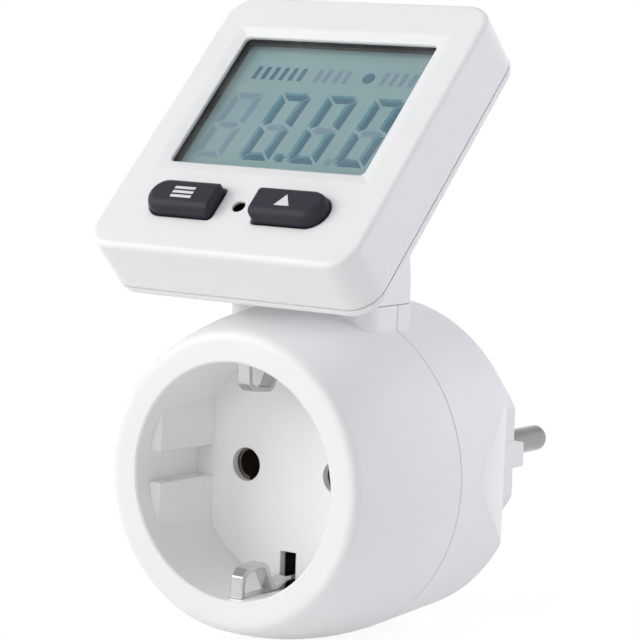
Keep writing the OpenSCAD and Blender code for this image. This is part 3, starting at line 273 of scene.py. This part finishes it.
materials = {
    "white_plastic": white_plastic("white_plastic", HOUSING_EDGE),
    "screw_steel": surface("screw_steel", (0.50, 0.50, 0.50), (0.60, 0.60, 0.59), (0.22, 0.34), 1.0),
    "nickel_plate": nickel("nickel_plate", (0.58, 0.57, 0.56), (0.66, 0.65, 0.64)),
    # The contacts' brass is darkened as painted shade, for the deep holes they sit in
    "contact_brass": surface("contact_brass", (0.30, 0.25, 0.22), (0.34, 0.29, 0.26), (0.35, 0.50), 1.0),
    # The carrier's plastic is lightened as painted light, for the slot under the lower earth clip where little
    # light reaches
    "carrier_plastic": surface("carrier_plastic", (0.42, 0.40, 0.39), (0.47, 0.45, 0.44), (0.45, 0.55)),
    "circuit_board": circuit_board(),
    "black_component": surface("black_component", (0.012, 0.012, 0.013), (0.020, 0.020, 0.022), (0.45, 0.60)),
    "shunt_alloy": surface("shunt_alloy", (0.42, 0.34, 0.28), (0.52, 0.43, 0.36), (0.25, 0.35), 1.0,
                           stretch=DRAWN),
    "capacitor_film": surface("capacitor_film", (0.34, 0.20, 0.05), (0.42, 0.26, 0.08), (0.30, 0.42)),
    "capacitor_sleeve": surface("capacitor_sleeve", (0.010, 0.014, 0.045), (0.016, 0.021, 0.060),
                                (0.28, 0.38)),
    "varistor_coat": surface("varistor_coat", (0.030, 0.10, 0.24), (0.045, 0.14, 0.30), (0.35, 0.50)),
    "cable_jacket": surface("cable_jacket", (0.16, 0.16, 0.17), (0.22, 0.22, 0.23), (0.50, 0.62)),
    "spring_steel": surface("spring_steel", (0.52, 0.52, 0.53), (0.62, 0.62, 0.62), (0.20, 0.30), 1.0),
    "window_clear": clear_window(),
    "black_foam": surface("black_foam", (0.012, 0.012, 0.013), (0.016, 0.016, 0.017), (0.80, 0.95),
                          specular=0.2, cloud=1500, grain=3500),
    "lcd_glass": display_cell(),
    "lcd_foil": surface("lcd_foil", (0.55, 0.56, 0.55), (0.68, 0.69, 0.68), (0.40, 0.55), 1.0),
    "zebra_rubber": zebra_rubber(),
    "mat_rubber": surface("mat_rubber", (0.24, 0.25, 0.26), (0.30, 0.31, 0.32), (0.65, 0.80)),
    "plunger_plastic": surface("plunger_plastic", (0.52, 0.52, 0.55), (0.58, 0.58, 0.61), (0.45, 0.60)),
    "key_plastic": surface("key_plastic", (0.020, 0.020, 0.031), (0.025, 0.025, 0.037), (0.48, 0.58),
                           specular=0.3, cloud=400, grain=3800, strength=0.25, edge=SMALL_EDGE),
    "carbon_pill": surface("carbon_pill", (0.015, 0.015, 0.015), (0.030, 0.030, 0.030), (0.75, 0.90)),
}
lit_ink = surface("lcd_ink_lit", (0.046, 0.140, 0.206), (0.052, 0.148, 0.216), (0.35, 0.45),
                  specular=0.2, depth=0.000002)
unlit_ink = surface("lcd_ink_unlit", (0.180, 0.272, 0.352), (0.188, 0.282, 0.362), (0.35, 0.45),
                    specular=0.2, depth=0.000002)
# Painted shadow of the lit segments: a cyan tint laid on the cell beside them
painted_ink_shadow = sheer("lcd_ink_shadow", (0.120, 0.375, 0.455), (0.130, 0.390, 0.470), (0.50, 0.62))
key_print = surface("key_print", (0.76, 0.76, 0.77), (0.83, 0.83, 0.83), (0.50, 0.60), cloud=2500,
                    grain=9000, depth=0.000004)

for row in frame["record"]["subparts"]:
    node = nodes[row["node"]]
    node.data.materials.clear()
    node.data.materials.append(materials[row["material_slot"]])
nodes["display_bezel"].data.materials[0] = white_plastic("white_plastic_soft", FRAME_EDGE)
# The plug pins get a darker copy of the nickel as painted shade, for the dark surroundings they mirror
pin_plate_painted_shade = nickel("pin_plate_painted_shade", (0.31, 0.305, 0.30), (0.36, 0.355, 0.35))
for name in ("plug_pin_live", "plug_pin_neutral"):
    nodes[name].data.materials[0] = pin_plate_painted_shade


# Thin printed shapes

def plates(name, outlines, origin, height, material, body):
    """Thin flat plates on the head's face: outlines in mm from origin, across and up the face."""
    mesh = bpy.data.meshes.new(name)
    shape = bmesh.new()
    for outline in outlines:
        low = [shape.verts.new(origin + ACROSS * x * MM + UP * y * MM) for x, y in outline]
        high = [shape.verts.new(v.co + OUT * height) for v in low]
        shape.faces.new(high)
        shape.faces.new(low[::-1])
        for i in range(len(low)):
            j = (i + 1) % len(low)
            shape.faces.new((low[i], low[j], high[j], high[i]))
    bmesh.ops.recalc_face_normals(shape, faces=shape.faces)
    shape.to_mesh(mesh)
    shape.free()
    piece = bpy.data.objects.new(name, mesh)
    bpy.context.scene.collection.objects.link(piece)
    mesh.materials.append(material)
    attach(piece, body)


def lean(points, slope, at=(0, 0)):
    """Points leaned over by a slope and moved."""
    return [(at[0] + x + y * slope, at[1] + y) for x, y in points]


def shifted(outlines, dx, dy, grow):
    """Outlines moved, and grown about their own middles."""
    moved = []
    for outline in outlines:
        cx = sum(p[0] for p in outline) / len(outline)
        cy = sum(p[1] for p in outline) / len(outline)
        moved.append([(x + dx + math.copysign(grow, x - cx), y + dy + math.copysign(grow, y - cy))
                      for x, y in outline])
    return moved


# Digits of the display in mm: size, stroke, gap at a corner, inset of the middle stroke, lean and places
DIGIT_W, DIGIT_H = 5.8, 15.2
STROKE, CORNER_GAP, MIDDLE_INSET = 1.22, 0.38, 0.9
LEAN = math.tan(math.radians(4.7))
DIGITS_X = (-18.2, -8.2, 1.5, 11.1)
DIGITS_Y = -11.45


def digit(x, y):
    """The seven segments of a digit whose lower left corner is at x, y: six of the rim, then the middle."""
    w, h, t, g, c = DIGIT_W, DIGIT_H, STROKE, CORNER_GAP, MIDDLE_INSET
    m = h / 2
    k = t / 2
    rim = [
        [(g, h), (w - g, h), (w - t - g, h - t), (t + g, h - t)],
        [(w, h - g), (w, m + g), (w - t, m + k + g), (w - t, h - t - g)],
        [(w, m - g), (w, g), (w - t, t + g), (w - t, m - k - g)],
        [(g, 0), (t + g, t), (w - t - g, t), (w - g, 0)],
        [(0, g), (0, m - g), (t, m - k - g), (t, t + g)],
        [(0, m + g), (0, h - g), (t, h - t - g), (t, m + k + g)],
    ]
    centre = [(c, m), (c + k, m + k), (w - c - k, m + k), (w - c, m), (w - c - k, m - k), (c + k, m - k)]
    return [lean(s, LEAN, (x, y)) for s in rim], [lean(centre, LEAN, (x, y))]


def bar(x, y, w, h, slope):
    return lean([(0, 0), (w, 0), (w, h), (0, h)], slope, (x, y))


def disc(x, y, r, count=20):
    turn = 2 * math.pi / count
    return [(x + r * math.cos(i * turn), y + r * math.sin(i * turn)) for i in range(count)]


# Points of the display in mm: size and left edges
POINT_W, POINT_H = 1.3, 1.4
POINT_LIT_X, POINT_UNLIT_X = -0.9, 8.9

# A row of plain equal bars and a dot above the digits, in mm: bars lit and unlit as (left edge, count)
MARK_Y, MARK_W, MARK_H, MARK_PITCH = 7.2, 0.9, 3.0, 1.9
MARKS_LIT = ((-15.9, 6),)
MARKS_UNLIT = ((-3.0, 2), (1.0, 2), (10.5, 4))
DOT_X, DOT_R = 7.9, 1.2

lit, unlit = [], []
for place, x in enumerate(DIGITS_X):
    rim, centre = digit(x, DIGITS_Y)
    (unlit if place == 0 else lit).extend(rim)
    unlit.extend(centre)
lit.append(bar(POINT_LIT_X, DIGITS_Y, POINT_W, POINT_H, LEAN))
unlit.append(bar(POINT_UNLIT_X, DIGITS_Y, POINT_W, POINT_H, LEAN))
shadowed = list(lit)
for group, runs in ((lit, MARKS_LIT), (unlit, MARKS_UNLIT)):
    for first, count in runs:
        for i in range(count):
            group.append(bar(first + i * MARK_PITCH, MARK_Y, MARK_W, MARK_H, LEAN))
lit.append(disc(DOT_X, MARK_Y + MARK_H / 2, DOT_R))

lcd_face = reach("lcd_front_glass", OUT)[1]
lcd_middle = (ACROSS * middle("display_window", ACROSS) + UP * middle("display_window", UP)
              + OUT * lcd_face)
# Thickness of the ink in metres, and how far its painted shadows lie aside and grow, in mm
INK = 0.00004
SHADOW_X, SHADOW_Y, SHADOW_GROW = -0.62, 0.5, 0.1
# Painted shadows: copies of the lit segments, moved up and left and grown
shadows = shifted(shadowed, SHADOW_X, SHADOW_Y, SHADOW_GROW)
plates("lcd_segment_painted_shadows", shadows, lcd_middle, INK / 2, painted_ink_shadow, "head")
plates("lcd_segments_unlit", unlit, lcd_middle, INK, unlit_ink, "head")
plates("lcd_segments_lit", lit, lcd_middle, INK, lit_ink, "head")


# Points this close to a key's highest one, in metres, belong to its top face
TOP_BAND = 0.00002


def key_top(name):
    """The middle of a key's top face."""
    height = reach(name, OUT)[1]
    top = [v.co for v in nodes[name].data.vertices if v.co.dot(OUT) > height - TOP_BAND]
    across = [p.dot(ACROSS) for p in top]
    up = [p.dot(UP) for p in top]
    return ACROSS * (min(across) + max(across)) / 2 + UP * (min(up) + max(up)) / 2 + OUT * height


# Thickness of the print in metres, and its shapes in mm: three bars and a triangle
PRINT = 0.00003
STRIPE_W, STRIPE_H, STRIPE_LEAN = 4.2, 0.55, 0.1
STRIPES_Y = (-1.2, -0.28, 0.64)
TRIANGLE = [(-1.5, -1.1), (1.5, -1.1), (0, 1.3)]
stripes = [bar(-STRIPE_W / 2, y, STRIPE_W, STRIPE_H, STRIPE_LEAN) for y in STRIPES_Y]
plates("mode_key_mark", stripes, key_top("mode_key"), PRINT, key_print, "mode_key")
plates("up_key_mark", [TRIANGLE], key_top("up_key"), PRINT, key_print, "up_key")


# Studio

def seen(tree_nodes, links):
    """1 for rays that show the background: from the camera, off gloss or through glass."""
    path = tree_nodes.new("ShaderNodeLightPath")
    total = path.outputs["Is Camera Ray"]
    for ray in ("Is Glossy Ray", "Is Transmission Ray"):
        add = tree_nodes.new("ShaderNodeMath")
        add.operation = "ADD"
        add.use_clamp = True
        links.new(total, add.inputs[0])
        links.new(path.outputs[ray], add.inputs[1])
        total = add.outputs["Value"]
    return total


# Light of the sky by height
SKY = [(0.0, (0.60, 0.60, 0.60)), (0.15, (1.04, 1.04, 1.04)), (0.35, (0.13, 0.13, 0.13)),
       (1.0, (0.09, 0.09, 0.09))]
# White of the backdrop low down and overhead, and the heights between which it falls
BACKDROP_LOW, BACKDROP_HIGH = 1.0, 0.45
FALL_START, FALL_STOP = 0.3, 0.7

world = bpy.data.worlds.new("studio")
bpy.context.scene.world = world
world.use_nodes = True
tree_nodes, links = world.node_tree.nodes, world.node_tree.links
ambient = tree_nodes["Background"]
outward = tree_nodes.new("ShaderNodeTexCoord")
height = tree_nodes.new("ShaderNodeSeparateXYZ")
links.new(outward.outputs["Generated"], height.inputs["Vector"])
links.new(colours(tree_nodes, links, height.outputs["Z"], SKY), ambient.inputs["Color"])
white = tree_nodes.new("ShaderNodeBackground")
white.inputs["Color"].default_value = (1, 1, 1, 1)
backdrop = spread(tree_nodes, links, height.outputs["Z"], BACKDROP_LOW, BACKDROP_HIGH, FALL_START, FALL_STOP)
links.new(backdrop, white.inputs["Strength"])
mix = tree_nodes.new("ShaderNodeMixShader")
links.new(seen(tree_nodes, links), mix.inputs["Fac"])
links.new(ambient.outputs["Background"], mix.inputs[1])
links.new(white.outputs["Background"], mix.inputs[2])
links.new(mix.outputs["Shader"], tree_nodes["World Output"].inputs["Surface"])


# Half the floor's width in metres, its glow near by and far off, and where near by ends and far off starts
FLOOR_HALF = 6.0
GLOW_NEAR, GLOW_FAR = 0.92, 1.0
NEAR, FAR = 0.2, 1.5


def studio_floor():
    """A pale floor that shows white and keeps the object's shadow."""
    mesh = bpy.data.meshes.new("floor")
    level = cad_box[0][2]
    corners = [(x * FLOOR_HALF, y * FLOOR_HALF, level) for x, y in ((-1, -1), (1, -1), (1, 1), (-1, 1))]
    mesh.from_pydata(corners, [], [(0, 1, 2, 3)])
    floor = bpy.data.objects.new("floor", mesh)
    bpy.context.scene.collection.objects.link(floor)
    material, tree_nodes, links, shader = start("floor_paper")
    tree_nodes.remove(shader)
    shown = seen(tree_nodes, links)
    paper = tree_nodes.new("ShaderNodeBsdfDiffuse")
    paper.inputs["Color"].default_value = (0.90, 0.90, 0.90, 1)
    shade = tree_nodes.new("ShaderNodeBsdfDiffuse")
    shade.inputs["Color"].default_value = (0.12, 0.12, 0.12, 1)
    glow = tree_nodes.new("ShaderNodeEmission")
    far = tree_nodes.new("ShaderNodeVectorMath")
    far.operation = "LENGTH"
    links.new(object_coordinates(tree_nodes, links), far.inputs[0])
    rise = spread(tree_nodes, links, far.outputs["Value"], GLOW_NEAR, GLOW_FAR, NEAR, FAR)
    links.new(rise, glow.inputs["Strength"])
    bright = tree_nodes.new("ShaderNodeAddShader")
    links.new(shade.outputs["BSDF"], bright.inputs[0])
    links.new(glow.outputs["Emission"], bright.inputs[1])
    mix = tree_nodes.new("ShaderNodeMixShader")
    links.new(shown, mix.inputs["Fac"])
    links.new(paper.outputs["BSDF"], mix.inputs[1])
    links.new(bright.outputs["Shader"], mix.inputs[2])
    links.new(mix.outputs["Shader"], tree_nodes["Material Output"].inputs["Surface"])
    mesh.materials.append(material)


studio_floor()


# Distance of each lamp from the object's middle, in metres
LAMP_DISTANCE = 1.2


def softbox(name, direction, size, power, colour, mirrored=True):
    """A square lamp aimed at the object's middle: size in metres, power in watts, seen in gloss if mirrored."""
    lamp = bpy.data.lights.new(name, "AREA")
    lamp.shape = "SQUARE"
    lamp.size = size
    lamp.energy = power
    lamp.color = colour
    light = bpy.data.objects.new(name, lamp)
    bpy.context.scene.collection.objects.link(light)
    towards = Vector(direction).normalized()
    light.location = (cad_box[0] + cad_box[1]) / 2 + towards * LAMP_DISTANCE
    light.rotation_mode = "QUATERNION"
    light.rotation_quaternion = (-towards).to_track_quat("-Z", "Y")
    light.visible_glossy = mirrored


softbox("key_light", (-0.636, -0.634, 0.439), 0.8, 7.2, (1.0, 0.99, 0.98))
softbox("side_light", (0.560, 0.682, 0.470), 0.8, 6.4, (0.945, 0.975, 1.05), False)
softbox("front_light", (0.0, -0.95, 0.30), 0.5, 2.0, (1.0, 1.0, 1.0))
softbox("top_light", (0.05, -0.10, 1.0), 0.8, 3.2, (0.96, 0.985, 1.04))

# Camera of the photo: its place, a point that it looks at, its roll, and its lens and sensor in mm
CAMERA_AT = Vector((283.510, -454.986, 80.729)) * MM
CAMERA_AIM = Vector((-1.889, -38.349, 25.094)) * MM
CAMERA_ROLL = math.radians(2.067)
CAMERA_LENS, CAMERA_SENSOR = 164.977, 36

camera_data = bpy.data.cameras.new("camera")
camera = bpy.data.objects.new("camera", camera_data)
bpy.context.scene.collection.objects.link(camera)
bpy.context.scene.camera = camera
camera_data.sensor_width = CAMERA_SENSOR
camera_data.lens = CAMERA_LENS
camera_data.clip_start = 0.01
camera.location = CAMERA_AT
sight = CAMERA_AIM - CAMERA_AT
camera.rotation_mode = "QUATERNION"
camera.rotation_quaternion = sight.to_track_quat("-Z", "Y") @ Quaternion((0, 0, 1), CAMERA_ROLL)
bpy.context.scene.view_settings.view_transform = "Standard"

bpy.context.view_layer.update()
